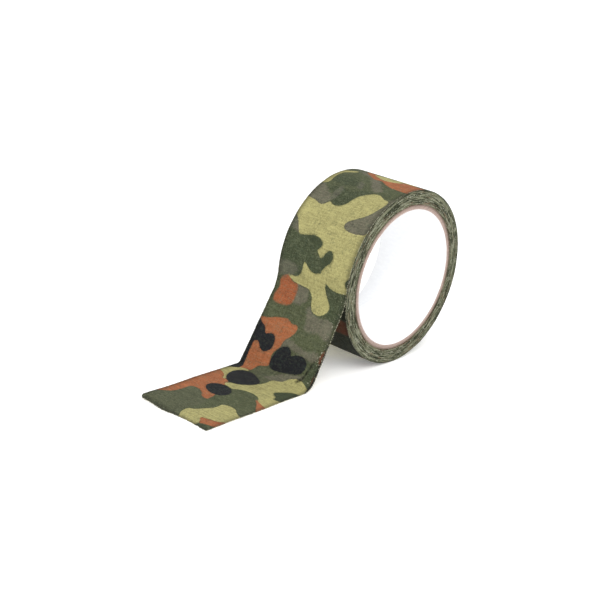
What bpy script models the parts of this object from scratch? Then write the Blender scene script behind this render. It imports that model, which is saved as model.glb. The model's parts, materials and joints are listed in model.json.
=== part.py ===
"""A part-used roll of cloth tape: wound on a paperboard core, with its tail peeled off, creased and laid flat.

Metres, +Z up. The roll stands on z = 0 with its axis along Y and its tail running out towards -X. The origin
is at the middle of the whole object's footprint. Each moving stretch hangs on an empty on its hinge line.
"""

from math import cos, pi, radians, sin, tan

import bmesh
import bpy
from mathutils import Matrix, Vector

# Driving dimensions
TAPE_WIDTH = 0.048
BORE_RADIUS = 0.0381  # a 3 inch core
LINER_THICKNESS = 0.0003
PLY_THICKNESS = 0.00065
ROLL_RADIUS = 0.0489
TAIL_REACH = 0.1415  # from the roll's axis to the cut end
END_LENGTH = 0.028  # the last stretch, which a finger lifts
LEAN = radians(27)  # the lead, from the vertical
BEND_RADIUS = 0.020
CREASE_SKEW = 0.0038  # how much further out the crease lies at the far edge
CLOTH = 0.00017
ADHESIVE = 0.00009

# Clearances
BOND_GAP = 0.00006  # between the cloth and its adhesive
LAYER_GAP = 0.0001  # between the glued layers of the roll
RUN_GAP = 0.0003  # between the roll and the stretch it turns past
HINGE_GAP = 0.0004  # from a hinge line to each of the stretches that meet on it

# Colours
CLOTH_GREEN = (0.16, 0.17, 0.08)
CREAM = (0.62, 0.58, 0.46)
BOARD = (0.42, 0.30, 0.22)

# How finely the shapes are divided
SEGMENTS = 96
STUCK_SEGMENTS = 3
BEND_STEPS = 6
LEAD_STEPS = 4
FLAT_STEPS = 2
COLUMNS = 6

# Worked out from the driving dimensions
TAPE = CLOTH + BOND_GAP + ADHESIVE
HALF_SEGMENT = pi / SEGMENTS
AXIS = Vector(((TAIL_REACH - ROLL_RADIUS) / 2, 0, ROLL_RADIUS))
STUCK_RADIUS = ROLL_RADIUS + RUN_GAP + TAPE / 2
BEND_TOP = Vector((-STUCK_RADIUS, -STUCK_RADIUS * tan(HALF_SEGMENT)))
BEND_END = BEND_TOP - BEND_RADIUS * Vector((1 - cos(LEAN), sin(LEAN)))
TAIL_HEIGHT = TAPE / 2 - ROLL_RADIUS
CREASE_REACH = (BEND_END.y - TAIL_HEIGHT) * tan(LEAN) - BEND_END.x


def material(name, colour, roughness):
    """A plain surface of one colour."""
    surface = bpy.data.materials.new(name)
    surface.use_nodes = True
    shader = surface.node_tree.nodes["Principled BSDF"]
    shader.inputs["Base Color"].default_value = (*colour, 1)
    shader.inputs["Roughness"].default_value = roughness
    shader.inputs["Metallic"].default_value = 0
    surface.diffuse_color = (*colour, 1)
    return surface


def empty(name, place, parent=None):
    """A hinge line's empty. Its place is in the world, whatever it hangs on."""
    holder = bpy.data.objects.new(name, None)
    holder.empty_display_size = 0.01
    bpy.context.collection.objects.link(holder)
    holder.parent = parent
    holder.location = place - (parent.matrix_world.translation if parent else Vector((0, 0, 0)))
    bpy.context.view_layer.update()
    return holder


def add_object(name, mesh, surface, parent):
    """Hangs a finished mesh on its empty, in its own colour, with only its true edges sharp."""
    mesh.materials.append(surface)
    mesh.shade_smooth()
    mesh.set_sharp_from_angle(angle=radians(30))
    piece = bpy.data.objects.new(name, mesh)
    bpy.context.collection.objects.link(piece)
    piece.parent = parent
    return piece


def ring(name, inner, outer, surface, parent):
    """One round layer of the roll, as wide as the tape. Its radii are to its flats, and a flat faces down."""
    form = bmesh.new()
    turned = Matrix.Rotation(radians(90), 4, "X") @ Matrix.Rotation(HALF_SEGMENT, 4, "Z")
    for radius in (inner, outer):
        bmesh.ops.create_circle(form, segments=SEGMENTS, radius=radius / cos(HALF_SEGMENT), matrix=turned)
    bmesh.ops.translate(form, verts=form.verts, vec=(0, -TAPE_WIDTH / 2, 0))
    bmesh.ops.bridge_loops(form, edges=form.edges)
    pulled = bmesh.ops.extrude_face_region(form, geom=form.faces[:])["geom"]
    moved = [item for item in pulled if isinstance(item, bmesh.types.BMVert)]
    bmesh.ops.translate(form, verts=moved, vec=(0, TAPE_WIDTH, 0))
    bmesh.ops.recalc_face_normals(form, faces=form.faces)
    mesh = bpy.data.meshes.new(name)
    form.to_mesh(mesh)
    form.free()
    return add_object(name, mesh, surface, parent)


def crease_x(across):
    """Where the crease lies at a place across the tape, from -1 at the near edge to 1 at the far one."""
    return -CREASE_REACH - across * CREASE_SKEW / 2


def bend_path(across):
    """The stretch that is still stuck to the roll, then the bend where the tape leaves it."""
    path = []
    for step in range(STUCK_SEGMENTS, 0, -1):
        angle = (2 * step - 1) * HALF_SEGMENT
        path.append(Vector((-cos(angle), sin(angle))) * STUCK_RADIUS / cos(HALF_SEGMENT))
    stop = LEAN - HINGE_GAP / BEND_RADIUS
    for step in range(BEND_STEPS + 1):
        angle = stop * step / BEND_STEPS
        path.append(BEND_TOP - BEND_RADIUS * Vector((1 - cos(angle), sin(angle))))
    return path


def straight(first, last, steps):
    """The points of a straight stretch cut into equal steps."""
    return [first.lerp(last, step / steps) for step in range(steps + 1)]


def lead_path(across):
    """The straight stretch down to the crease."""
    crease = Vector((crease_x(across), TAIL_HEIGHT))
    along = (crease - BEND_END).normalized()
    first = BEND_END + along * HINGE_GAP
    last = crease - along * HINGE_GAP
    return straight(first, last, LEAD_STEPS)


def tail_path(across):
    """The flat stretch from the crease to the part that lifts."""
    first = Vector((crease_x(across) - HINGE_GAP, TAIL_HEIGHT))
    last = Vector((END_LENGTH - TAIL_REACH + HINGE_GAP, TAIL_HEIGHT))
    return straight(first, last, FLAT_STEPS)


def end_path(across):
    """The flat stretch that a finger lifts, out to the cut end."""
    first = Vector((END_LENGTH - TAIL_REACH - HINGE_GAP, TAIL_HEIGHT))
    last = Vector((-TAIL_REACH, TAIL_HEIGHT))
    return straight(first, last, FLAT_STEPS)


def offset(path, distance):
    """Moves a path sideways, towards the printed face of the tape."""
    moved = []
    for place, point in enumerate(path):
        along = path[min(place + 1, len(path) - 1)] - path[max(place - 1, 0)]
        along.normalize()
        moved.append(point + distance * Vector((along.y, -along.x)))
    return moved


def strip(name, path_at, low, high, surface, parent):
    """One layer of a stretch of tape, from low to high above the middle of the tape, along path_at's paths."""
    form = bmesh.new()
    hinge = parent.matrix_world.translation
    skins = []
    for distance in (low, high):
        columns = []
        for column in range(COLUMNS + 1):
            across = 2 * column / COLUMNS - 1
            path = offset(path_at(across), distance)
            places = [AXIS + Vector((p.x, across * TAPE_WIDTH / 2, p.y)) - hinge for p in path]
            columns.append([form.verts.new(place) for place in places])
        skins.append(columns)
    under, over = skins
    last = len(under[0]) - 1
    for column in range(COLUMNS):
        for row in range(last):
            for skin in skins:
                left, right = skin[column], skin[column + 1]
                form.faces.new((left[row], left[row + 1], right[row + 1], right[row]))
        for row in (0, last):
            below = (under[column][row], under[column + 1][row])
            above = (over[column + 1][row], over[column][row])
            form.faces.new(below + above)
    for row in range(last):
        for column in (0, COLUMNS):
            below, above = under[column], over[column]
            form.faces.new((below[row], below[row + 1], above[row + 1], above[row]))
    bmesh.ops.recalc_face_normals(form, faces=form.faces)
    bmesh.ops.triangulate(form, faces=form.faces, quad_method="FIXED")
    mesh = bpy.data.meshes.new(name)
    form.to_mesh(mesh)
    form.free()
    return add_object(name, mesh, surface, parent)


def make_core(parent):
    """A white paper liner and three glued plies of board. Returns the radius that they reach."""
    reach = BORE_RADIUS + LINER_THICKNESS
    ring("core_paper_liner", BORE_RADIUS, reach, material("liner_paper", (0.86, 0.87, 0.87), 0.6), parent)
    for ply in ("inner", "middle", "outer"):
        inner = reach + LAYER_GAP
        reach = inner + PLY_THICKNESS
        board = material(f"core_board_{ply}", BOARD, 0.9)
        ring(f"core_board_ply_{ply}", inner, reach, board, parent)
    return reach


def make_wound_tape(core_radius, parent):
    """All the turns that are still stuck down, and the last of them on its own."""
    last_turn = ROLL_RADIUS - TAPE
    turns = material("tape_edges", (0.11, 0.115, 0.075), 0.8)
    ring("wound_turns", core_radius + LAYER_GAP, last_turn - LAYER_GAP, turns, parent)
    ring("outer_turn", last_turn, ROLL_RADIUS, material("outer_turn_cloth", CLOTH_GREEN, 0.85), parent)


def make_free_tape(bend, lead, tail, end):
    """The free tape in four stretches, each a printed cloth and the adhesive under it."""
    paths = {"bend": bend_path, "lead": lead_path, "tail": tail_path, "tail_end": end_path}
    for (name, path_at), parent in zip(paths.items(), (bend, lead, tail, end)):
        cloth = material(f"{name}_cloth", CLOTH_GREEN, 0.85)
        glue = material(f"{name}_adhesive", CREAM, 0.45)
        strip(f"{name}_cloth", path_at, TAPE / 2 - CLOTH, TAPE / 2, cloth, parent)
        strip(f"{name}_adhesive", path_at, -TAPE / 2, ADHESIVE - TAPE / 2, glue, parent)


def build():
    """Clears the scene and makes the whole roll."""
    for item in list(bpy.data.objects):
        bpy.data.objects.remove(item, do_unlink=True)
    bend = empty("bend", AXIS + Vector((BEND_TOP.x, 0, BEND_TOP.y)))
    roll = empty("roll_axis", AXIS, bend)
    lead = empty("lead_hinge", AXIS + Vector((BEND_END.x, 0, BEND_END.y)), bend)
    tail = empty("crease_hinge", AXIS + Vector((-CREASE_REACH, 0, TAIL_HEIGHT)), lead)
    end = empty("end_hinge", AXIS + Vector((END_LENGTH - TAIL_REACH, 0, TAIL_HEIGHT)), tail)
    make_wound_tape(make_core(roll), roll)
    make_free_tape(bend, lead, tail, end)


build()
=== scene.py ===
"""The looks of a part-used roll of camouflage cloth tape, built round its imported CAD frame. Metres, +Z up."""

import json
from math import atan2, cos, hypot, pi, radians, sin

import bmesh
import bpy
import numpy as np
from mathutils import Matrix, Vector, noise


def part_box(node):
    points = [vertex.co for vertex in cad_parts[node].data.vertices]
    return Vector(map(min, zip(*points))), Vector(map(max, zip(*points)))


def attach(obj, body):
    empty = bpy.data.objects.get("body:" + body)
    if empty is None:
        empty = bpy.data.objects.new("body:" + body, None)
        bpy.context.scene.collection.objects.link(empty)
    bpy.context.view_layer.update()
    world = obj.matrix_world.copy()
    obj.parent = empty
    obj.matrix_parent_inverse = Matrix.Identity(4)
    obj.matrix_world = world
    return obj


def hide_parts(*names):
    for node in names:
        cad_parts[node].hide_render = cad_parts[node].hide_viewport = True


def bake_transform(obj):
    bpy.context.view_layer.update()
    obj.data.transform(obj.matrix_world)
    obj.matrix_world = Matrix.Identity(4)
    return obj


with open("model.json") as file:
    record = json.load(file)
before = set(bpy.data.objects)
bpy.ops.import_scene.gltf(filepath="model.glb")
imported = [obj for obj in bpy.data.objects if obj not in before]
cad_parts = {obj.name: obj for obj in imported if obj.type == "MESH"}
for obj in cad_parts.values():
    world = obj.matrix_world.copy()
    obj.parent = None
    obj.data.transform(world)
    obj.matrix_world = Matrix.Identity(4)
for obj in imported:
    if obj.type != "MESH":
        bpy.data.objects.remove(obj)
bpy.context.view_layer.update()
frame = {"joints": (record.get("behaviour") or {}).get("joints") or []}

MM = 0.001

# Places and sizes read from the frame
JOINTS = {joint["name"]: joint for joint in frame["joints"]}
AXIS = Vector(JOINTS["roll_spin"]["pos_m"])
LEAD_HINGE = Vector(JOINTS["lead_swing"]["pos_m"]) - AXIS
CREASE_HINGE = Vector(JOINTS["crease_fold"]["pos_m"]) - AXIS
CREASE_LINE = Vector(JOINTS["crease_fold"]["axis"])
END_HINGE = Vector(JOINTS["end_lift"]["pos_m"]) - AXIS
ROLL_LOW, ROLL_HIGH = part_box("outer_turn")
ROLL_RADIUS = (ROLL_HIGH[2] - ROLL_LOW[2]) / 2
HALF_WIDTH = (ROLL_HIGH[1] - ROLL_LOW[1]) / 2
TAIL_REACH = AXIS.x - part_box("tail_end_cloth")[0][0]

# The tape
CLOTH = 0.17 * MM
GLUE = 0.08 * MM
TAPE = CLOTH + GLUE
PITCH = 0.26 * MM  # from one turn to the next
TURNS = 31
PEEL_ANGLE = radians(181.9)  # where the tape leaves the roll, from +X round over the top
BEND_RADIUS = 20 * MM
FREE_LENGTH = 122.0  # mm of tape from the cut end to the line where it leaves the roll
GLUE_LENGTH = 119.3  # mm of it whose adhesive is free: past that it is pressed on to the roll
PRINT_REPEAT = 214.0  # mm after which the print starts again

# The outline of the cut end: places across the tape, and where the cut lies along it at each, in mm. The far
# corner is clipped.
CUT_ACROSS = (-24, -10, -5, 0, 5, 10, 15, 20, 22, 23, 24)
CUT_ALONG = (-1.3, -0.9, -1.1, -2.0, -2.9, -2.7, -2.3, -2.4, -1.6, -0.5, 1.2)
SPARE = 4.0  # mm of path before 0 mm, for the cut end to lie on

# Lengths along the tape, in mm from its cut end, where one piece takes over from the next
TAIL_MIDDLE = 45.0
LEAD_MIDDLE = 92.0

# The cloth and its fibres
THREAD = 0.45  # mm from one thread of the cloth to the next
THREAD_RADIUS = 0.045 * MM  # of a loose fibre
COARSE_STEP = 1.0  # mm between the rows and columns that carry the print
DEPTH_REACH = 3.0  # mm from a patch's outline past which its depth isn't measured

# The core
LINER = 0.3 * MM  # the paper's thickness
PLY_GAP = 0.02 * MM
PLY_SPARE = 0.04 * MM  # how much further a layer reaches than its CAD ring, which stands clear of the next
CORE_SHORT = 0.15 * MM  # how far the core stops short of the tape at each end
RIM_SOFTNESS = 0.1 * MM
RING_SEGMENTS = 192
LAP_SLOPE = 0.4348  # how far the liner's spiral lap climbs for each mm round
LAP_SPACING = 52.04  # mm along the core from one lap to the next

WOUND_STEPS = 240  # in each turn of the wound tape
FLOOR_REACH = 12.0
FLOOR_DROP = 0.0002  # keeps the floor just clear of what lies on it
SEED = 7


# ---------------------------------------------------------------- the print

SAGE = [
    [(-6, 26), (-6, -4), (1, -2), (8, 0), (14, -2), (20, -1), (23, 1.5), (24, 5), (27, 8), (28, 12),
     (28, 17), (20, 17), (14, 19), (12, 26)],
    [(61, -1), (62, 4), (65, 9.5), (68, 12.5), (70, 13), (72, 10), (73, 5), (73.5, 0), (72, -3),
     (66, -3.5)],
]
GREY = [
    [(66, 3), (69, 1), (73, -5), (76, -15), (74, -17), (71, -10), (66, -5)],
    [(84, 6.5), (89, 4), (91, 0), (89.5, -5), (88.5, -12), (90, -18), (88, -22), (84.5, -17), (85.5, -9),
     (86, 0)],
    [(109.5, 9), (119.5, 10.5), (119.5, 3), (117, 0.5), (112, 0.5), (109.5, 4)],
    [(98.5, -6), (103, -4.5), (108, -2.5), (111, -3), (107.6, -8), (107, -14), (109, -18), (105, -22),
     (97, -22), (99, -15), (98, -10)],
    [(145, 15.5), (147, 20), (146, 27), (158, 27), (155, 21), (150, 17.5)],
    [(164, 27), (165, 12), (169, 9.5), (172, 10), (175, 16), (178.5, 20), (179.5, 27)],
    [(153, -27), (154, -12), (157, -7), (161, -8), (166, -14), (173, -18), (179, -19), (183, -27)],
    [(184, -8), (190, -2), (196, 3), (200, 9), (204, 16), (207, 14), (204, 8), (200, 3), (197, -3),
     (191, -8), (187, -12)],
]
ORANGE = [
    [(12, 27), (14, 19.5), (20, 17.5), (27, 17), (28, 12), (26, 8), (23.3, 5), (23, 1.5), (27, 1.5),
     (31, 3), (38, 6), (43, 8), (46.5, 10), (48, 13.5), (51, 16.5), (53, 20), (54, 27)],
    [(3, -14.5), (6.5, -12), (8, -17), (10, -21.5), (14, -24), (17, -27), (3, -27), (3.5, -21),
     (1.5, -17.5)],
    [(41.8, -14.5), (38.5, -18), (34.5, -21.5), (30, -27), (42.5, -27), (42.6, -19)],
    [(63, 17), (65, 14), (70, 13), (72, 10.5), (74, 6), (80, 7), (85, 4), (89, 3), (92, 0.5), (95, -1.5),
     (98.7, -1.2), (98.7, 3), (100.2, 6.5), (99, 13), (97, 18.5), (95.5, 25), (91, 27), (80, 24),
     (70, 22.5), (64, 22)],
    [(194, -27), (193, -15), (195, -8), (198.5, -2), (198, 2), (200.5, 6.5), (204.5, 12), (209, 15.5),
     (209.5, 10), (207, 4), (206, -4), (209, -10), (209, -18), (208, -27)],
]
BRICK = [
    [(106.8, 11.5), (106.2, 18.5), (107.6, 21.2), (111, 21.8), (115, 20.5), (118.5, 21.3), (121.5, 19.2),
     (124.2, 16.8), (122.4, 15.2), (120, 13), (119.3, 9.2), (114, 8.4), (109, 8.7)],
]
KHAKI = [
    [(108, -8.5), (109, -5.5), (112, -3.5), (116, -2), (119, 1), (119.5, 6), (120, 11), (121, 14),
     (123.3, 17.2), (124, 16.5), (123.2, 12.5), (124.3, 9.3), (127, 7.6), (131, 7.2), (132.6, 6.4),
     (130, 3), (128.6, 0), (129, -3), (131, -5.5), (140, 0), (145, 10), (145.6, 15.6), (150, 18.8),
     (154, 22), (157, 27), (166.5, 27), (166.5, 19), (165, 13.5), (166, 11), (168.2, 9), (167, 6),
     (167.3, 3), (169.3, -0.2), (172.5, -1.6), (176, -3), (179, -5), (181.3, -8), (183, -11),
     (182.8, -14.5), (181, -17.5), (180.4, -21), (178, -22), (174, -21), (170, -19.4), (167, -17.4),
     (164, -14), (161.6, -10.7), (160, -8.9), (157.8, -8.3), (156, -9.6), (155, -13), (155, -18),
     (155.8, -22), (156, -27), (124, -27), (123.2, -21), (122.9, -17), (123.8, -12.5), (125.2, -10.2),
     (123.8, -9.4), (121, -10.3), (118, -12.2), (115, -14.6), (112, -15.2), (109.3, -13.3), (108, -11)],
    [(42, 8), (44, 9), (46, 7), (48, 3), (52, 0), (56, -2), (60, -3), (66, -3), (68.3, -7), (72, -10),
     (73.6, -14.5), (72.8, -19), (71, -22), (68, -27), (41, -27), (41, -17), (44, -14), (45.6, -9),
     (45, -4), (43.2, -0.5), (41.2, 2), (41.4, 5)],
    [(-4, -4.5), (-1, -4.5), (1, -3), (4, -1.4), (8, -1.4), (10, -4), (14, -6.2), (18, -8.2), (21, -8.6),
     (24, -8.3), (26, -11.5), (25.4, -16.5), (22.5, -20.5), (20, -27), (15, -27), (10, -21.5),
     (8, -16.5), (6.5, -12.2), (3.5, -14.3), (0, -16.6), (-4, -18)],
    [(47, 13.5), (50, 16.5), (52.5, 20), (54, 23.5), (57, 24), (61, 22.6), (64.5, 18.5), (65.5, 14),
     (60, 12)],
    [(206, 8.5), (203.4, 4), (201.4, 0.5), (200.9, -3.5), (202.2, -7), (205, -9.8), (208.5, -9),
     (209.8, -3), (209.8, 4), (208.5, 8)],
    [(180, 22), (183, 20.5), (189, 21.5), (195, 21), (200, 17), (203, 17.5), (199, 22), (197, 27),
     (180, 27)],
]
LEAF = [
    [(121, 27), (121.5, 21), (123.3, 17.2), (124, 16.5), (123.2, 12.5), (124.3, 9.3), (127, 7.6),
     (131, 7.2), (132.6, 6.4), (130, 3), (128.6, 0), (129, -3), (131, -5.5), (134, -7.4), (136, -9.6),
     (139, -10.6), (142, -9.3), (142.6, -7), (140.6, -5), (138, -4), (137.2, -2), (137.8, 0.8),
     (139, 1.5), (141, 0.4), (143, -1), (145.2, -0.8), (147, 2), (147.6, 6), (146.6, 10), (145.7, 14),
     (145.6, 16), (147, 20), (146, 27)],
    [(126, -27), (127, -23.4), (129, -22), (131.6, -23.2), (133, -27)],
    [(49, -20), (52, -18), (54, -14.6), (57, -15), (61, -18), (63.5, -21.5), (62, -27), (50, -27),
     (49.5, -23)],
    [(-4, -17), (1, -16), (3, -19), (4, -27), (-4, -27)],
    [(73.5, -18), (78, -17), (83, -19), (87, -22.5), (89, -27), (69, -27), (71.5, -22)],
    [(109, -15.5), (113, -15.8), (118, -12.8), (123, -10.4), (125.4, -9.8), (123.6, -13), (122.8, -17),
     (123.2, -22), (124, -27), (108, -27), (107, -21)],
    [(167.6, 7), (167.2, 3), (170, -1), (177, -3.5), (182, -8), (183, -3), (179, 3), (180, 12),
     (177, 17), (174, 10)],
    [(184, 20), (183, 9), (186, 4), (191, 8), (193, 15), (190, 20)],
]
SMOKE = [
    [(121.5, 24), (121.5, 19), (124, 13), (127, 10), (129.5, 13), (130, 19), (128, 26)],
    [(169.5, 9.5), (172, 7.6), (178, 8), (181.5, 10.5), (177, 11.5), (172, 11.5)],
    [(183, 2), (188, 5), (191, 4.5), (188, 1.5), (184, -0.5)],
    [(150, 27), (148, 20), (151, 20.5), (155, 23), (158, 27)],
]
RUST = [
    [(73.5, -23), (76, -22.4), (78.5, -23), (78.5, -24.4), (74, -24.4)],
    [(84.5, -22.8), (88, -21.6), (91.5, -22.2), (92.5, -24), (88, -24.4)],
]
BLACK = [
    [(46.2, 9), (48, 13), (52, 16.4), (57, 18), (61, 17), (63.8, 14), (64, 9), (62, 4), (59.5, 0),
     (56, -1.6), (51.5, 0), (48, 4)],
    [(29.6, 6), (31, 10.3), (34, 13.2), (37.4, 13), (40.6, 9.6), (41.3, 5), (39.6, 0.6), (36, -1.6),
     (32, -0.7), (30, 2.5)],
    [(61, 22.5), (64, 19.6), (67, 20), (70, 21), (78, 21.4), (82.4, 21), (83.2, 18.6), (81.2, 16.6),
     (79.8, 15), (79.6, 12), (82, 9.2), (85, 8.4), (88.2, 9), (90, 11.4), (89.4, 14.2), (88.6, 16.2),
     (91.4, 18), (93.2, 21), (93.2, 27), (61, 27)],
    [(72.8, 0), (72.7, 4), (75, 6.1), (79, 6.1), (83, 4.8), (86, 2), (86.8, -1), (85.4, -3.6),
     (83.2, -4.8), (84.8, -8), (85, -12.6), (83, -15.4), (79, -15.6), (76, -13), (74, -7)],
    [(69, -23.1), (76, -22.9), (84, -23.1), (95, -23.6), (95, -25), (69, -25)],
]
# The last of the outer turn, under the lead, printed dark and darkened further into painted shade where the
# lead shades it, and a dark stroke of painted shade beside the crease. These patches don't repeat.
SHADE = [
    [(72.3, -13.6), (75.2, -15.9), (79, -17.2), (85, -18.9), (85.4, -19.8), (79, -18.3), (75, -17.1),
     (71.9, -14.7)],
    [(367, -28), (364, -18), (369, -9), (378, -3), (384, 4), (392, 9), (401, 5), (408, 7), (416, 13),
     (424, 12), (430, 5), (437, 3), (437, -28)],
]
# Rust patches under the lead, darkened into painted shade; these don't repeat either.
RUST_IN_PAINTED_SHADE = [
    [(406, -27), (405, -15), (407, -6), (410, 1), (413.5, 2), (415, -4), (414.5, -13), (414, -27)],
    [(366, -27), (368, -18), (374, -15.5), (381, -19), (384, -27)],
]
# From the bottom up: each colour is printed over those before it, with a soft edge of this many mm to each
# side. The last two are painted shade laid over the print.
PRINT = {
    "sage": (SAGE, 1.0), "grey": (GREY, 1.1), "orange": (ORANGE, 0.45), "brick": (BRICK, 0.9),
    "khaki": (KHAKI, 0.2), "leaf": (LEAF, 0.3), "smoke": (SMOKE, 1.2),
    "rust": (RUST, 0.8), "black": (BLACK, 0.2), "shade": (SHADE, 0.5), "rust_in_painted_shade": (RUST_IN_PAINTED_SHADE, 0.9),
}
ONCE = ("shade", "rust_in_painted_shade")


def rounded_outline(corners, steps=6):
    """A closed smooth curve through the corners, as an array of points."""
    points = np.array(corners, float)
    before, after, beyond = np.roll(points, 1, 0), np.roll(points, -1, 0), np.roll(points, -2, 0)
    curve = []
    for step in range(steps):
        t = step / steps
        curve.append(
            0.5 * (2 * points + (after - before) * t + (2 * before - 5 * points + 4 * after - beyond) * t**2
                   + (3 * points - before - 3 * after + beyond) * t**3))
    return np.stack(curve, 1).reshape(-1, 2)


def depth_inside(places, outline, reach):
    """How far each place lies inside an outline, in mm, negative outside, never past reach."""
    depth = np.full(len(places), -reach)
    low, high = outline.min(0) - reach, outline.max(0) + reach
    near = np.nonzero(((places > low) & (places < high)).all(1))[0]
    if not len(near):
        return depth
    p = places[near][:, None, :]
    a = outline[None]
    b = np.roll(outline, -1, 0)[None]
    edge = b - a
    along = (((p - a) * edge).sum(2) / np.maximum((edge**2).sum(2), 1e-12)).clip(0, 1)
    distance = np.sqrt(((p - a - along[..., None] * edge) ** 2).sum(2)).min(1)
    rises = (a[..., 1] > p[..., 1]) != (b[..., 1] > p[..., 1])
    level = np.where(np.abs(edge[..., 1]) < 1e-12, 1e-12, edge[..., 1])
    crossing = a[..., 0] + (p[..., 1] - a[..., 1]) * edge[..., 0] / level
    inside = (rises & (p[..., 0] < crossing)).sum(1) % 2 == 1
    depth[near] = np.where(inside, distance, -distance).clip(-reach, reach)
    return depth


def print_depths(along, across):
    """For each colour, how deep each place on the tape lies inside its patches, in mm."""
    places = np.stack([along, across], 1)
    found = {}
    for colour, (patches, _) in PRINT.items():
        depth = np.full(len(places), -DEPTH_REACH)
        for patch in patches:
            outline = rounded_outline(patch)
            for repeat in (0,) if colour in ONCE else range(-1, 3):
                moved = outline + np.array([repeat * PRINT_REPEAT, 0])
                depth = np.maximum(depth, depth_inside(places, moved, DEPTH_REACH))
        found[colour] = depth
    return found


# ---------------------------------------------------------------- where the tape runs

def smooth(value):
    """0 below 0, 1 above 1, and a smooth step between."""
    value = np.clip(value, 0, 1)
    return value * value * (3 - 2 * value)


def free_column(across):
    """The free tape's middle at one place across it, from cut end to roll, as x and z from the axis."""
    peel = np.array([cos(PEEL_ANGLE), sin(PEEL_ANGLE)]) * (ROLL_RADIUS - TAPE / 2)
    crease_x = CREASE_HINGE.x + across * HALF_WIDTH * CREASE_LINE.x / CREASE_LINE.y
    corner = np.array([crease_x, TAPE / 2 - ROLL_RADIUS])
    lean = atan2(LEAD_HINGE.x - CREASE_HINGE.x, LEAD_HINGE.z - CREASE_HINGE.z)
    bend_end = peel - BEND_RADIUS * np.array([1 - cos(lean), sin(lean)])
    down = (bend_end - corner) / hypot(*(bend_end - corner))
    softness = (3.6 - 2.0 * across) * MM  # the crease is sharper at the far edge
    points = [np.array([-TAIL_REACH - SPARE * MM, corner[1]])]
    start, stop = corner - np.array([softness, 0]), corner + down * softness
    for t in np.linspace(0, 1, 12):
        points.append((1 - t) ** 2 * start + 2 * t * (1 - t) * corner + t**2 * stop)
    for t in np.linspace(lean, 0, 16):
        points.append(peel - BEND_RADIUS * np.array([1 - cos(t), sin(t)]))
    return np.array(points)


def free_place(along, across, height):
    """Points of the free tape: along in mm, across from -1 to 1, height in metres above its middle."""
    out = np.zeros((len(along), 3))
    for column in np.unique(across):
        chosen = across == column
        line = free_column(column)
        lengths = np.concatenate([[0], np.cumsum(np.hypot(*np.diff(line, axis=0).T))])
        lengths = lengths * (FREE_LENGTH + SPARE) / lengths[-1] - SPARE
        s = along[chosen]

        def at(where):
            return np.stack([np.interp(where, lengths, line[:, 0]), np.interp(where, lengths, line[:, 1])], 1)

        middle = at(s)
        ahead = at(np.minimum(s + 0.6, FREE_LENGTH)) - at(np.maximum(s - 0.6, -SPARE))
        ahead /= np.hypot(*ahead.T)[:, None]
        normal = np.stack([-ahead[:, 1], ahead[:, 0]], 1)
        rise = ripple(s, column)
        out[chosen, 0] = middle[:, 0] + normal[:, 0] * (height[chosen] + rise)
        out[chosen, 2] = middle[:, 1] + normal[:, 1] * (height[chosen] + rise)
    out[:, 1] = across * HALF_WIDTH
    return out + np.array(AXIS)


def ripple(along, across):
    """How far the free tape stands off its plain path, in metres: soft waves, and a far corner that lifts."""
    flat = smooth((66 - along) / 14)
    wave = 0.22 * (1 + np.sin(along * 0.17 + 1.3 * across)) * smooth((along + 6) / 20)
    corner = 0.5 * smooth((15 - along) / 15) * smooth((across + 0.1) / 1.1) * smooth((1.15 - across) / 0.35)
    lead = smooth((along - 80) / 10) * smooth((112 - along) / 12)
    bow = 0.45 * np.cos(across * 1.5) * lead
    return (flat * (wave * 0.6 + corner) + bow) * MM


def wound_place(turned, across, height):
    """Points of the wound tape, turned in radians from where the outermost turn leaves the roll."""
    radius = ROLL_RADIUS - TAPE / 2 - PITCH * turned / (2 * pi) + height
    angle = PEEL_ANGLE - turned
    return np.stack([radius * np.cos(angle), across * HALF_WIDTH, radius * np.sin(angle)], 1) + np.array(AXIS)


# ---------------------------------------------------------------- mesh helpers

def make_object(name, points, faces, materials, face_materials=None, smooth_angle=40):
    """One mesh object that faces outwards all over, smooth but for its true edges."""
    mesh = bpy.data.meshes.new(name)
    mesh.from_pydata([tuple(p) for p in points], [], faces)
    for surface in materials:
        mesh.materials.append(surface)
    if face_materials is not None:
        mesh.polygons.foreach_set("material_index", face_materials)
    form = bmesh.new()
    form.from_mesh(mesh)
    bmesh.ops.recalc_face_normals(form, faces=form.faces)
    if form.calc_volume(signed=True) < 0:
        bmesh.ops.reverse_faces(form, faces=form.faces)
    form.to_mesh(mesh)
    form.free()
    mesh.shade_smooth()
    mesh.set_sharp_from_angle(angle=radians(smooth_angle))
    made = bpy.data.objects.new(name, mesh)
    bpy.context.collection.objects.link(made)
    return made


def add_numbers(made, name, values):
    """Gives each vertex a number that its material reads."""
    layer = made.data.attributes.new(name, "FLOAT", "POINT")
    layer.data.foreach_set("value", np.asarray(values, np.float32))


def add_places(made, name, values):
    """Gives each vertex a place that its material reads."""
    layer = made.data.attributes.new(name, "FLOAT_VECTOR", "POINT")
    layer.data.foreach_set("vector", np.asarray(values, np.float32).ravel())


def slab_faces(rows, columns):
    """A closed slab's faces, and which are its upper skin, 0, its lower skin, 1, and its edges, 2.

    The lower skin's points come first, row by row, then the upper skin's.
    """
    skin = rows * columns
    faces, kinds = [], []
    for row in range(rows - 1):
        for column in range(columns - 1):
            a = row * columns + column
            b, c, d = a + 1, a + columns + 1, a + columns
            faces += [(a, b, c, d), (skin + a, skin + d, skin + c, skin + b)]
            kinds += [1, 0]
    for row in range(rows - 1):
        for column, flip in ((0, True), (columns - 1, False)):
            a = row * columns + column
            d = a + columns
            face = (a, d, skin + d, skin + a)
            faces.append(face if flip else face[::-1])
            kinds.append(2)
    for column in range(columns - 1):
        for row, flip in ((0, False), (rows - 1, True)):
            a = row * columns + column
            face = (a, a + 1, skin + a + 1, skin + a)
            faces.append(face[::-1] if flip else face)
            kinds.append(2)
    return faces, kinds


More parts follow.
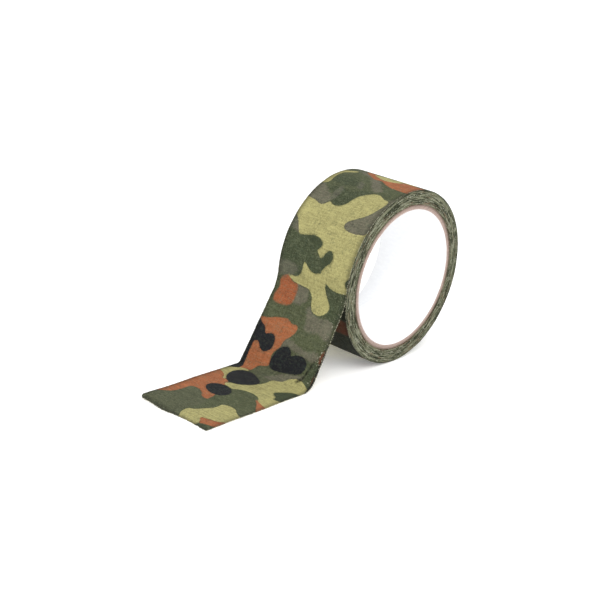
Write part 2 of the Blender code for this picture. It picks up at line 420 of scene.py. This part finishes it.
def edge_wander(along, side):
    """How far a slit edge strays at each length along the tape, in metres."""
    rng = np.random.default_rng(SEED + side)
    slow = np.interp(along / 7.0, np.arange(80), rng.normal(0, 0.06 * MM, 80))
    quick = np.interp(along / 1.3, np.arange(400), rng.normal(0, 0.05 * MM, 400))
    return slow + quick


def tape_columns():
    """Places across the tape from -1 to 1, closer together at its edges."""
    inner = np.linspace(-0.985, 0.985, int(2 * HALF_WIDTH / MM / COARSE_STEP))
    return np.concatenate([[-1], inner, [1]])


def tape_slab(name, lengths, place, low, high, materials, inset=0.0):
    """A closed stretch of printed tape between two heights. The end at 0 mm follows the cut."""
    columns = tape_columns()
    grid_s, grid_a = np.meshgrid(lengths, columns, indexing="ij")
    along, across = grid_s.ravel(), grid_a.ravel()
    torn = np.random.default_rng(SEED).normal(0, 0.15, len(columns))
    cut = np.interp(columns * HALF_WIDTH / MM, CUT_ACROSS, CUT_ALONG) + inset
    along = along + smooth((6 - along) / 6) * np.tile(cut, len(lengths))
    along += np.where(grid_s.ravel() == 0, np.tile(torn, len(lengths)), 0)
    shift = np.where(across == 1, edge_wander(along, 1), 0) - np.where(across == -1, edge_wander(along, 2), 0)
    shift -= across * inset * MM
    points = np.concatenate([place(along, across, np.full(len(along), h)) for h in (low, high)])
    points[:, 1] += np.tile(shift, 2)
    faces, kinds = slab_faces(len(lengths), len(columns))
    made = make_object(name, points, faces, materials, kinds if len(materials) > 1 else None)
    across_mm = across * HALF_WIDTH / MM
    for colour, depth in print_depths(along, across_mm).items():
        add_numbers(made, "print_" + colour, np.tile(depth, 2))
    heights = np.repeat([low / MM, high / MM], len(along))
    add_places(made, "tape_place", np.stack([np.tile(along, 2), np.tile(across_mm, 2), heights], 1))
    return made


# ---------------------------------------------------------------- materials

def srgb(red, green, blue):
    """A linear colour from one given in 0 to 255."""
    shares = [value / 255 for value in (red, green, blue)]
    return tuple(s / 12.92 if s <= 0.04045 else ((s + 0.055) / 1.055) ** 2.4 for s in shares) + (1,)


class Nodes:
    """Short calls for building one material's nodes."""

    def __init__(self, name, roughness=0.8):
        self.material = bpy.data.materials.new(name)
        self.material.use_nodes = True
        self.tree = self.material.node_tree
        self.shader = self.tree.nodes["Principled BSDF"]
        self.shader.inputs["Roughness"].default_value = roughness

    def link(self, source, target):
        """Feeds a socket from another socket, or sets it to a plain value."""
        if isinstance(source, bpy.types.NodeSocket):
            self.tree.links.new(source, target)
        else:
            target.default_value = source

    def add(self, kind, **settings):
        node = self.tree.nodes.new("ShaderNode" + kind)
        for key, value in settings.items():
            setattr(node, key, value)
        return node

    def number(self, name):
        """A number that each vertex carries."""
        return self.add("Attribute", attribute_name=name).outputs["Fac"]

    def place(self, name="tape_place"):
        """A place that each vertex carries."""
        return self.add("Attribute", attribute_name=name).outputs["Vector"]

    def math(self, operation, first, second=0.0):
        node = self.add("Math", operation=operation)
        for value, socket in zip((first, second), node.inputs):
            self.link(value, socket)
        return node.outputs[0]

    def scaled(self, vector, scale):
        node = self.add("VectorMath", operation="MULTIPLY")
        self.link(vector, node.inputs[0])
        node.inputs[1].default_value = scale
        return node.outputs[0]

    def noise(self, vector, scale=1.0, detail=2.0, roughness=0.5):
        node = self.add("TexNoise")
        self.link(vector, node.inputs["Vector"])
        node.inputs["Scale"].default_value = scale
        node.inputs["Detail"].default_value = detail
        node.inputs["Roughness"].default_value = roughness
        return node.outputs["Fac"]

    def ramp(self, value, low, high, to_low=0.0, to_high=1.0):
        """value carried from one range to another, with a smooth step and no overshoot."""
        node = self.add("MapRange", interpolation_type="SMOOTHSTEP")
        keys = ("Value", "From Min", "From Max", "To Min", "To Max")
        for source, key in zip((value, low, high, to_low, to_high), keys):
            self.link(source, node.inputs[key])
        return node.outputs["Result"]

    def mix(self, share, first, second, blend="MIX"):
        node = self.add("Mix", data_type="RGBA", blend_type=blend)
        sockets = [socket for socket in node.inputs if socket.enabled]
        for value, socket in zip((share, first, second), sockets):
            self.link(value, socket)
        return next(socket for socket in node.outputs if socket.enabled)

    def spread(self, values):
        """The sum of values that stray about a half, each weighted, so that the sum strays about 0."""
        total = 0.0
        for value, weight in values:
            total = self.math("ADD", total, self.math("MULTIPLY", self.math("SUBTRACT", value, 0.5), weight))
        return total

    def bump(self, height, distance, strength=1.0):
        node = self.add("Bump")
        node.inputs["Strength"].default_value = strength
        node.inputs["Distance"].default_value = distance
        self.link(height, node.inputs["Height"])
        self.tree.links.new(node.outputs["Normal"], self.shader.inputs["Normal"])

    def split(self, vector):
        node = self.add("SeparateXYZ")
        self.link(vector, node.inputs[0])
        return node.outputs

    def grey(self, value):
        """A colour whose three channels are all the value."""
        node = self.add("CombineXYZ")
        for socket in node.inputs:
            self.link(value, socket)
        return node.outputs[0]


INKS = {
    "green": srgb(72, 77, 54),
    "sage": srgb(76, 79, 59),
    "grey": srgb(97, 94, 79),
    "orange": srgb(152, 91, 58),
    "brick": srgb(144, 80, 49),
    "khaki": srgb(159, 153, 102),
    "leaf": srgb(60, 67, 47),
    "smoke": srgb(84, 84, 70),
    "rust": srgb(110, 58, 40),
    "black": srgb(27, 28, 32),
    # The last two are painted shade: the ink of the dark patches under the lead and of the stroke beside the
    # crease, and the rust darkened under the lead.
    "shade": srgb(24, 26, 17),
    "rust_in_painted_shade": srgb(68, 35, 20),
}


def weave(nodes, along, across):
    """The height of a plain weave, and how much of each place is the thread that runs along the tape."""
    first = nodes.math("SINE", nodes.math("MULTIPLY", along, pi / THREAD))
    second = nodes.math("SINE", nodes.math("MULTIPLY", across, pi / THREAD))
    over = nodes.ramp(nodes.math("MULTIPLY", first, second), -0.15, 0.15)
    warp = nodes.math("ABSOLUTE", second)
    weft = nodes.math("ABSOLUTE", first)
    height = nodes.math("ADD", nodes.math("MULTIPLY", warp, over),
                        nodes.math("MULTIPLY", weft, nodes.math("SUBTRACT", 1.0, over)))
    return height, over


def printed_cloth():
    """Matte woven cotton with soft printed patches, uneven threads and a pale frayed edge, with painted shade
    in the weave's valleys and in the dark patches under the lead.
    """
    nodes = Nodes("printed_cloth", 0.9)
    nodes.shader.inputs["Sheen Weight"].default_value = 0.02
    nodes.shader.inputs["Sheen Roughness"].default_value = 0.6
    nodes.shader.inputs["Specular IOR Level"].default_value = 0.08
    place = nodes.place()
    along, across, _ = nodes.split(place)
    stray = nodes.spread([(nodes.noise(place, 1.3, 3.0, 0.6), 1.1)])
    cloud = nodes.spread([(nodes.noise(place, 0.4, 4.0, 0.65), 5.0)])
    faded = nodes.ramp(nodes.noise(place, 0.3, 2.0, 0.6), 0.4, 0.62, 0.05, 0.42)
    colour = INKS["green"]
    for ink, (_, softness) in PRINT.items():
        soft = softness >= 1
        depth = nodes.math("ADD", nodes.number("print_" + ink), cloud if soft else stray)
        if not soft:
            outline = nodes.ramp(nodes.math("ABSOLUTE", nodes.math("ADD", depth, 0.35)), 0.0, 0.7, 1.0, 0.0)
            colour = nodes.mix(nodes.math("MULTIPLY", outline, faded), colour, srgb(44, 46, 32))
        colour = nodes.mix(nodes.ramp(depth, -softness, softness), colour, INKS[ink])
    weft = nodes.noise(nodes.scaled(place, (0.95, 0.09, 1)), 1.0, 3.0, 0.65)
    warp = nodes.noise(nodes.scaled(place, (0.09, 0.95, 1)), 1.0, 3.0, 0.65)
    grain = nodes.noise(place, 1.0, 3.0, 0.8)
    patchy = nodes.noise(place, 0.09, 3.0, 0.55)
    height, over = weave(nodes, along, across)
    fine_warp = nodes.noise(nodes.scaled(place, (0.25, 2.4, 1)), 1.0, 2.0, 0.6)
    fine_weft = nodes.noise(nodes.scaled(place, (2.4, 0.25, 1)), 1.0, 2.0, 0.6)
    fine = nodes.mix(over, nodes.grey(fine_weft), nodes.grey(fine_warp))
    tone = nodes.math("ADD", 1.0, nodes.spread([
        (weft, 0.9), (warp, 0.5), (grain, 1.3), (patchy, 0.4), (fine, 0.8)]))
    edge = nodes.math("ABSOLUTE", across)
    # Darker towards the slit edges and towards the cut end, along wobbly lines.
    edge_wobble = nodes.spread([(grain, 5.0)])
    sides = nodes.ramp(nodes.math("ADD", edge, edge_wobble), 20.5, 24.2, 0.0, 0.55)
    tip = nodes.ramp(nodes.math("ADD", along, edge_wobble), -1.5, 2.5, 0.55, 0.0)
    edge_darkening = nodes.math("MAXIMUM", sides, tip)
    # Painted shade in the weave's valleys and a faint painted highlight on the tops of its threads.
    weave_painted_shade = nodes.ramp(height, 0.0, 0.6, 0.78, 1.05)
    shade = nodes.math("MULTIPLY", nodes.math("MULTIPLY", tone, weave_painted_shade), nodes.math("SUBTRACT", 1.0, edge_darkening))
    colour = nodes.mix(1.0, colour, nodes.grey(shade), "MULTIPLY")
    nap = nodes.noise(nodes.scaled(place, (1.5, 1.5, 1)), 1.0, 2.0, 0.8)
    plain = nodes.math("MAXIMUM", nodes.number("print_black"), nodes.number("print_khaki"))
    plain = nodes.math("MAXIMUM", plain, nodes.number("print_shade"))
    light = nodes.ramp(plain, -0.3, 0.2, 1.0, 0.25)
    colour = nodes.mix(nodes.math("MULTIPLY", nodes.ramp(nap, 0.51, 0.77, 0.0, 0.30), light), colour,
                       srgb(160, 160, 128))
    mottle = nodes.noise(nodes.scaled(place, (0.8, 0.45, 5)), 1.0, 3.0, 0.75)
    colour = nodes.mix(nodes.math("MULTIPLY", nodes.ramp(mottle, 0.48, 0.70, 0.0, 0.34), light), colour,
                       srgb(118, 122, 96))
    cool = nodes.noise(nodes.scaled(place, (0.7, 0.5, 3)), 1.0, 2.0, 0.7)
    colour = nodes.mix(nodes.ramp(cool, 0.50, 0.74, 0.0, 0.30), colour, srgb(56, 70, 58))
    speck = nodes.noise(nodes.scaled(place, (0.75, 1.0, 1)), 1.0, 1.0, 0.5)
    rubbed = nodes.math("MULTIPLY", nodes.ramp(along, 66, 76), nodes.ramp(along, 122, 132, 1.0, 0.0))
    rubbed = nodes.math("MULTIPLY", rubbed, nodes.ramp(across, -21.5, -18.5, 1.0, 0.0))
    worn = nodes.math("MULTIPLY", nodes.ramp(speck, 0.64, 0.74), rubbed)
    colour = nodes.mix(nodes.math("MULTIPLY", worn, 0.65), colour, srgb(190, 188, 166))
    ragged = nodes.noise(nodes.scaled(place, (1.4, 0.6, 1)), 1.0, 3.0, 0.7)
    side = nodes.ramp(across, -10, 10, 0.75, 0.25)
    fray = nodes.math("MULTIPLY", nodes.ramp(edge, 23.45, 23.9), nodes.ramp(ragged, 0.42, 0.60))
    colour = nodes.mix(nodes.math("MULTIPLY", fray, side), colour, srgb(172, 170, 146))
    nodes.link(colour, nodes.shader.inputs["Base Color"])
    uneven = nodes.noise(place, 0.8, 2.0)
    nodes.link(nodes.ramp(uneven, 0.3, 0.7, 0.8, 0.96), nodes.shader.inputs["Roughness"])
    nodes.bump(nodes.math("ADD", height, nodes.math("MULTIPLY", grain, 1.4)), 0.10 * MM, 0.9)
    return nodes.material


def glue():
    """Creamy rubber adhesive, faintly printed by the cloth under it, with a soft shine."""
    nodes = Nodes("tape_adhesive", 0.4)
    nodes.shader.inputs["Specular IOR Level"].default_value = 0.45
    place = nodes.place()
    along, across, _ = nodes.split(place)
    mottle = nodes.noise(place, 0.4, 4.0, 0.6)
    colour = nodes.mix(nodes.ramp(mottle, 0.3, 0.7), srgb(203, 196, 170), srgb(211, 205, 181))
    streak = nodes.noise(nodes.scaled(place, (0.05, 1.2, 1)), 1.0, 2.0)
    colour = nodes.mix(nodes.ramp(streak, 0.5, 0.8, 0.0, 0.35), colour, srgb(178, 170, 142))
    nodes.link(colour, nodes.shader.inputs["Base Color"])
    nodes.link(nodes.ramp(mottle, 0.3, 0.7, 0.32, 0.55), nodes.shader.inputs["Roughness"])
    height, _ = weave(nodes, along, across)
    nodes.bump(nodes.math("ADD", height, nodes.math("MULTIPLY", mottle, 0.4)), 0.04 * MM, 0.6)
    return nodes.material


def cut_edges():
    """The slit edges: cotton ends of many inks, matted into light and dark streaks that run round, with painted
    shade at the outer rim.
    """
    nodes = Nodes("tape_edges", 0.92)
    nodes.shader.inputs["Specular IOR Level"].default_value = 0.1
    face = nodes.place("face_place")
    streak = nodes.noise(nodes.scaled(face, (4, 4, 1.5)), 1.0, 2.0, 0.55)
    colour = nodes.mix(nodes.ramp(streak, 0.40, 0.60), srgb(48, 52, 38), srgb(112, 114, 92))
    pale = nodes.noise(nodes.scaled(face, (6, 6, 1.8)), 1.0, 3.0, 0.6)
    colour = nodes.mix(nodes.ramp(pale, 0.52, 0.66, 0.0, 0.8), colour, srgb(153, 154, 133))
    brown = nodes.noise(nodes.scaled(face, (5, 5, 1.2)), 1.0, 3.0, 0.6)
    colour = nodes.mix(nodes.ramp(brown, 0.55, 0.68, 0.0, 0.7), colour, srgb(110, 90, 72))
    dark = nodes.noise(nodes.scaled(face, (5, 5, 2.3)), 1.0, 3.0, 0.6)
    colour = nodes.mix(nodes.ramp(dark, 0.51, 0.63, 0.0, 0.9), colour, srgb(30, 33, 23))
    speck = nodes.noise(nodes.scaled(face, (45, 45, 1.5)), 1.0, 1.0, 0.5)
    colour = nodes.mix(nodes.ramp(speck, 0.64, 0.72, 0.0, 0.5), colour, srgb(182, 182, 164))
    # Painted shade: the outermost turns of each end face are darkened, for the dark line where the face meets
    # the outer turn.
    rim = nodes.math("SUBTRACT", nodes.number("turn"), nodes.spread([(pale, 8.0)]))
    colour = nodes.mix(nodes.ramp(rim, 0.0, 4.0, 0.75, 0.0), colour, srgb(36, 40, 28))
    core = nodes.math("ADD", nodes.number("turn"), nodes.spread([(brown, 9.0)]))
    colour = nodes.mix(nodes.ramp(core, 27.0, 30.0, 0.0, 0.5), colour, srgb(84, 66, 52))
    nodes.link(colour, nodes.shader.inputs["Base Color"])
    nodes.bump(nodes.math("ADD", pale, streak), 0.25 * MM, 1.0)
    return nodes.material


def white_paper():
    """The smooth white paper inside the core, with fine fibres and the faint spiral line of its lap."""
    nodes = Nodes("liner_paper", 0.55)
    nodes.shader.inputs["Specular IOR Level"].default_value = 0.35
    place = nodes.place("core_place")
    round_it, along_it, _ = nodes.split(place)
    fibres = nodes.noise(nodes.scaled(place, (0.6, 0.25, 1)), 1.0, 4.0, 0.7)
    colour = nodes.mix(nodes.ramp(fibres, 0.3, 0.7), srgb(236, 237, 239), srgb(241, 242, 243))
    climb = nodes.math("ADD", along_it, nodes.math("MULTIPLY", round_it, LAP_SLOPE))
    lap = nodes.math("PINGPONG", climb, LAP_SPACING / 2)
    seam = nodes.ramp(lap, 0.0, 0.45, 1.0, 0.0)
    colour = nodes.mix(nodes.math("MULTIPLY", seam, 0.3), colour, srgb(222, 222, 221))
    rim = nodes.ramp(nodes.math("ABSOLUTE", along_it), 23.7, 23.84)
    colour = nodes.mix(rim, colour, srgb(180, 162, 153))
    nodes.link(colour, nodes.shader.inputs["Base Color"])
    nodes.bump(nodes.math("SUBTRACT", nodes.math("MULTIPLY", fibres, 0.3), seam), 0.08 * MM, 0.6)
    return nodes.material


def board(name, tint):
    """Grey-brown chipboard, with short fibres, flecks and soft plies."""
    nodes = Nodes(name, 0.92)
    nodes.shader.inputs["Specular IOR Level"].default_value = 0.2
    place = nodes.place("core_place")
    fibres = nodes.noise(nodes.scaled(place, (0.5, 2.0, 6.0)), 1.0, 4.0, 0.7)
    flecks = nodes.noise(place, 3.2, 3.0, 0.8)
    light = tuple(min(1.0, c * 1.18) for c in tint[:3]) + (1,)
    deep = tuple(c * 0.72 for c in tint[:3]) + (1,)
    colour = nodes.mix(nodes.ramp(fibres, 0.35, 0.65), deep, light)
    colour = nodes.mix(nodes.ramp(flecks, 0.62, 0.74, 0.0, 0.6), colour, srgb(92, 70, 54))
    colour = nodes.mix(nodes.ramp(flecks, 0.26, 0.36, 0.5, 0.0), colour, srgb(214, 202, 190))
    nodes.link(colour, nodes.shader.inputs["Base Color"])
    nodes.bump(nodes.math("ADD", fibres, flecks), 0.15 * MM, 0.7)
    return nodes.material


def floor_material():
    """Plain pale studio paper, faintly lit from behind so that shadows on it stay light."""
    nodes = Nodes("studio_floor", 0.9)
    nodes.shader.inputs["Base Color"].default_value = (0.97, 0.97, 0.97, 1)
    nodes.shader.inputs["Emission Color"].default_value = (1, 1, 1, 1)
    nodes.shader.inputs["Emission Strength"].default_value = 0.18
    nodes.shader.inputs["Specular IOR Level"].default_value = 0.1
    return nodes.material


# ---------------------------------------------------------------- pieces

def make_camera():
    """The camera, from where the roll is seen end-on from the right and its tail runs to the lower left."""
    azimuth, elevation, tilt = radians(-49.78), radians(20.15), radians(5.97)
    from_axis = Vector((-0.5048, -0.3790, 0.2067))
    back = Vector((sin(azimuth) * cos(elevation), -cos(azimuth) * cos(elevation), sin(elevation)))
    right = Vector((cos(azimuth), sin(azimuth), 0))
    up = back.cross(right)
    level = Matrix((right, up, back)).transposed()
    data = bpy.data.cameras.new("camera")
    data.lens = 72.0
    data.sensor_width = 36.0
    camera = bpy.data.objects.new("camera", data)
    bpy.context.collection.objects.link(camera)
    camera.matrix_world = (level @ Matrix.Rotation(tilt, 3, "Z")).to_4x4()
    camera.location = AXIS + from_axis
    bpy.context.scene.camera = camera


def make_light(name, place, size, power):
    """A square softbox that faces the object."""
    data = bpy.data.lights.new(name, "AREA")
    data.size = size
    data.energy = power
    lamp = bpy.data.objects.new(name, data)
    bpy.context.collection.objects.link(lamp)
    lamp.location = place
    lamp.rotation_euler = (Vector((0, 0, 0.04)) - Vector(place)).to_track_quat("-Z", "Y").to_euler()


def make_studio():
    """A pale floor, a bright even room and two softboxes."""
    corners = [(x * FLOOR_REACH, y * FLOOR_REACH, 0) for x, y in ((-1, -1), (1, -1), (1, 1), (-1, 1))]
    floor = make_object("floor", corners, [(0, 1, 2, 3)], [floor_material()])
    floor.location.z = -FLOOR_DROP
    world = bpy.data.worlds.new("studio")
    bpy.context.scene.world = world
    bpy.context.scene.view_settings.view_transform = "Standard"
    world.use_nodes = True
    world.node_tree.nodes["Background"].inputs["Color"].default_value = (1, 1, 1, 1)
    world.node_tree.nodes["Background"].inputs["Strength"].default_value = 1.0
    make_light("key", (-0.5, -0.5, 0.8), 0.7, 5.0)
    make_light("fill", (0.3, -0.9, 0.4), 0.8, 2.5)


def ring_piece(name, inner, outer, half, surface, soft, seed):
    """One round layer of the core, with soft rims that wander a little, carrying its place in mm."""
    rng = np.random.default_rng(SEED + seed)
    profile = [
        (outer, -half + soft), (outer - soft, -half), (inner + soft, -half), (inner, -half + soft),
        (inner, -half / 2), (inner, 0), (inner, half / 2),
        (inner, half - soft), (inner + soft, half), (outer - soft, half), (outer, half - soft), (outer, 0),
    ]
    points, places, faces = [], [], []
    count = len(profile)
    rims = {upper: rng.normal(0, 0.035 * MM, RING_SEGMENTS) for upper in (True, False)}
    for segment in range(RING_SEGMENTS):
        angle = 2 * pi * segment / RING_SEGMENTS
        here, ahead = segment * count, (segment + 1) % RING_SEGMENTS * count
        for radius, y in profile:
            rough = rims[y > 0][segment] if abs(y) > half - 2 * soft else 0
            points.append((AXIS.x + radius * cos(angle), y + rough, AXIS.z + radius * sin(angle)))
            places.append((angle * inner / MM, y / MM, (radius - inner) / MM))
        for k in range(count):
            after = (k + 1) % count
            faces.append((here + k, here + after, ahead + after, ahead + k))
    made = make_object(name, points, faces, [surface], smooth_angle=60)
    add_places(made, "core_place", places)
    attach(made, "roll")
    return made


def node_radius(node):
    """A ring node's outer radius, read from its box."""
    low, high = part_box(node)
    return (high[2] - low[2]) / 2


def make_core():
    """The white liner and the three plies of board."""
    plies = [("core_paper_liner", "core_liner", white_paper(), "liner_paper")]
    tints = {"inner": (166, 147, 138), "middle": (158, 139, 129), "outer": (130, 113, 102)}
    for ply, tint in tints.items():
        surface = board(f"board_{ply}", srgb(*tint))
        plies.append((f"core_board_ply_{ply}", f"core_board_{ply}", surface, "core_board"))
    inner = node_radius("core_paper_liner") - LINER
    half = HALF_WIDTH - CORE_SHORT
    for seed, (node, name, surface, slot) in enumerate(plies):
        outer = node_radius(node) + PLY_SPARE
        made = ring_piece(name, inner, outer, half, surface, RIM_SOFTNESS, 20 + seed)
        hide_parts(node)
        inner = outer + PLY_GAP


def face_places(turned):
    """For points of the wound tape, the cosine and sine of their angle and their radius in mm."""
    angle = PEEL_ANGLE - turned
    radius = (ROLL_RADIUS - PITCH * turned / (2 * pi)) / MM
    return np.stack([np.cos(angle), np.sin(angle), radius], 1)


def add_faces(made, turned):
    """Gives each vertex what the material of the slit edges reads."""
    add_places(made, "face_place", face_places(turned))
    add_numbers(made, "turn", turned / (2 * pi))


def slit_edge(turned, side):
    """Where a slit edge of the wound tape lies: turns stand proud or shy of each other, in bands."""
    rng = np.random.default_rng(SEED + 5 + side)
    band = [noise.fractal(Vector((4 * x, 4 * y, 1.6 * r + 40 * side)), 1.0, 2.0, 2)
            for x, y, r in face_places(turned)]
    single = np.interp(turned * 3, np.arange(700), rng.normal(0, 0.05, 700))
    ragged = rng.normal(0, 0.03, len(turned))
    return side * (1 + (0.16 * np.array(band) + single + ragged) * MM / HALF_WIDTH)


def loose_thread():
    """Bleached and dyed cotton fibres, each of its own tone."""
    nodes = Nodes("loose_thread", 0.9)
    nodes.shader.inputs["Specular IOR Level"].default_value = 0.1
    tone = nodes.number("tone")
    colour = nodes.mix(nodes.ramp(tone, 0.3, 0.9), srgb(64, 68, 50), srgb(186, 184, 160))
    stain = nodes.noise(nodes.place("thread_place"), 900.0, 2.0)
    colour = nodes.mix(nodes.ramp(stain, 0.3, 0.7, 0.0, 0.3), colour, srgb(120, 116, 92))
    nodes.link(colour, nodes.shader.inputs["Base Color"])
    return nodes.material


def make_threads(name, paths, tones, surface):
    """Tapering fibres along paths of equal numbers of points, as one object."""
    count, steps, _ = paths.shape
    ahead = np.gradient(paths, axis=1)
    ahead /= np.linalg.norm(ahead, axis=2, keepdims=True)
    side = np.cross(ahead, np.array([0.31, 0.52, 0.79]))
    side /= np.linalg.norm(side, axis=2, keepdims=True)
    other = np.cross(ahead, side)
    radius = THREAD_RADIUS * np.linspace(1, 0.5, steps)[None, :, None]
    corners = [paths + radius * (cos(a) * side + sin(a) * other) for a in (0, 2 * pi / 3, 4 * pi / 3)]
    points = np.stack(corners, 2).reshape(-1, 3)
    faces = []
    for thread in range(count):
        first = thread * steps * 3
        for step in range(steps - 1):
            for corner in range(3):
                a, b = first + step * 3 + corner, first + step * 3 + (corner + 1) % 3
                faces.append((a, b, b + 3, a + 3))
        last = first + (steps - 1) * 3
        faces += [(first + 2, first + 1, first), (last, last + 1, last + 2)]
    made = make_object(name, points, faces, [surface], smooth_angle=180)
    add_numbers(made, "tone", np.repeat(tones, steps * 3))
    add_places(made, "thread_place", points)
    return made


def edge_paths(rng, along, side, place, per_mm, reach):
    """Paths of fibres that leave a slit edge: along in the units of place, of which per_mm make one mm."""
    count = len(along)
    out = rng.uniform(0.25, 1, count) * reach
    lean = rng.normal(0, 0.6, count) * out
    lift = rng.normal(0, 0.35, count) * out
    paths = []
    for t in (-0.25, 0.25, 0.6, 1.0):
        across = side * (1 + t * out * MM / HALF_WIDTH)
        height = np.where(t > 0, lift * t * t, 0) * MM
        paths.append(place(along + lean * max(t, 0) ** 1.5 * per_mm, across, height))
    return np.stack(paths, 1)


def make_wound_turns(surface):
    """Every turn under the outermost, as one spiral strip whose slit edges wander."""
    count = WOUND_STEPS * (TURNS - 1) + 1
    turned = 2 * pi * (1 + np.arange(count) / WOUND_STEPS)
    edges = [slit_edge(turned, side) for side in (-1, 1)]
    points = [wound_place(turned, edge, np.full(count, height))
              for height in (-TAPE / 2, TAPE / 2) for edge in edges]
    faces = []
    low_near, low_far, high_near, high_far = (k * count for k in range(4))
    for a in range(count - 1):
        b = a + 1
        faces.append((low_near + a, low_near + b, low_far + b, low_far + a))
        faces.append((high_near + a, high_far + a, high_far + b, high_near + b))
        faces.append((low_near + a, high_near + a, high_near + b, low_near + b))
        faces.append((low_far + a, low_far + b, high_far + b, high_far + a))
    for row, flip in ((0, False), (count - 1, True)):
        face = (row, count + row, 3 * count + row, 2 * count + row)
        faces.append(face[::-1] if flip else face)
    made = make_object("wound_tape", np.concatenate(points), faces, [surface])
    add_faces(made, np.tile(turned, 4))
    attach(made, "roll")
    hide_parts("wound_turns")


def make_face_threads(surface):
    """Fibre ends that stand out of both end faces of the roll."""
    rng = np.random.default_rng(SEED + 60)
    paths = []
    for side in (-1, 1):
        turned = rng.uniform(0, 2 * pi * TURNS, 420)
        paths.append(edge_paths(rng, turned, np.full(len(turned), side), wound_place, MM / ROLL_RADIUS, 0.7))
    paths = np.concatenate(paths)
    made = make_threads("wound_tape_fibres", paths, rng.uniform(0, 1, len(paths)), surface)
    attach(made, "roll")


def make_outer_turn(cloth, under, edges):
    """The outermost turn, from where the tape leaves the roll once round to where it passes under itself."""
    round_length = 2 * pi * ROLL_RADIUS / MM
    steps = int(round_length / COARSE_STEP)
    lengths = FREE_LENGTH + np.linspace(0, round_length, steps)

    def place(along, across, height):
        turned = (along - FREE_LENGTH) * MM / ROLL_RADIUS
        return wound_place(turned, across, height)

    made = tape_slab("outer_turn_cloth", lengths, place, -TAPE / 2, TAPE / 2, [cloth, under, edges])
    turned = (np.repeat(lengths, len(tape_columns())) - FREE_LENGTH) * MM / ROLL_RADIUS
    add_faces(made, np.tile(turned, 2))
    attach(made, "roll")
    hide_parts("outer_turn")


def free_threads(name, first, last, surface):
    """Fibres along both slit edges of one stretch of the free tape, and along the cut end."""
    rng = np.random.default_rng(SEED + int(first))
    paths = []
    for side in (-1, 1):
        along = rng.uniform(first + 0.5, last - 0.5, int((last - first) * 1.1))
        paths.append(edge_paths(rng, along, np.full(len(along), side), free_place, 1.0, 0.8))
    if first == 0:
        across = rng.uniform(-0.98, 0.9, 90)
        tip = np.interp(across * HALF_WIDTH / MM, CUT_ACROSS, CUT_ALONG)
        out = rng.uniform(0.2, 1.1, len(across))
        lean = rng.normal(0, 0.3, len(across)) * out * MM / HALF_WIDTH
        ends = []
        for t in (-0.4, 0.2, 0.6, 1.0):
            along = np.maximum(tip - t * out, -SPARE)
            ends.append(free_place(along, across + lean * max(t, 0), np.zeros(len(across))))
        paths.append(np.stack(ends, 1))
    paths = np.concatenate(paths)
    return make_threads(f"free_{name}_fibres", paths, rng.uniform(0, 1, len(paths)), surface)


def make_free_tape(cloth, under, fibre):
    """The free tape in three stretches, split between its hinges, as printed cloth over its adhesive."""
    bend_line, crease, end_line = AXIS + LEAD_HINGE, AXIS + CREASE_HINGE, AXIS + END_HINGE
    down_lead = (CREASE_HINGE - LEAD_HINGE).normalized() * 7 * MM
    past_crease = Vector((-4 * MM, 0, -4 * MM))
    outwards = Vector((-5 * MM, 0, 0))
    end_bend = end_line + outwards * 0.8  # 4 mm out from the hinge, towards the cut end
    glue_top = TAPE / 2 - CLOTH - 0.004 * MM  # just short of the cloth
    stretches = [
        ("upper", LEAD_MIDDLE, FREE_LENGTH, "bend", "lead", bend_line, down_lead, ("bend",), "hung"),
        ("crease", TAIL_MIDDLE, LEAD_MIDDLE, "lead", "tail", crease, past_crease, ("lead", "tail"), "folded"),
        ("end", 0.0, TAIL_MIDDLE, "tail", "tail_end", end_bend, outwards, ("tail_end",), "laid"),
    ]
    for name, first, last, body_a, body_b, middle, reach, nodes, held in stretches:
        lengths = np.linspace(first, last, int((last - first) / COARSE_STEP * 1.4) + 1)
        printed = tape_slab(f"free_{name}_cloth", lengths, free_place, TAPE / 2 - CLOTH, TAPE / 2, [cloth])
        lengths = np.unique(np.minimum(lengths, GLUE_LENGTH))
        backing = tape_slab(f"free_{name}_adhesive", lengths, free_place, -TAPE / 2, glue_top, [under], 0.12)
        threads = free_threads(name, first, last, fibre)
        for made, slot in ((printed, "camo_cloth"), (backing, "adhesive"), (threads, "camo_cloth")):
            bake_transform(made)
        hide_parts(*(f"{node}_cloth" for node in nodes))
        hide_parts(*(f"{node}_adhesive" for node in nodes))


def build():
    """Makes the camera, the studio, the materials and every piece."""
    make_camera()
    make_studio()
    cloth, under, edges, fibre = printed_cloth(), glue(), cut_edges(), loose_thread()
    make_core()
    make_wound_turns(edges)
    make_face_threads(fibre)
    make_outer_turn(cloth, under, edges)
    make_free_tape(cloth, under, fibre)


build()
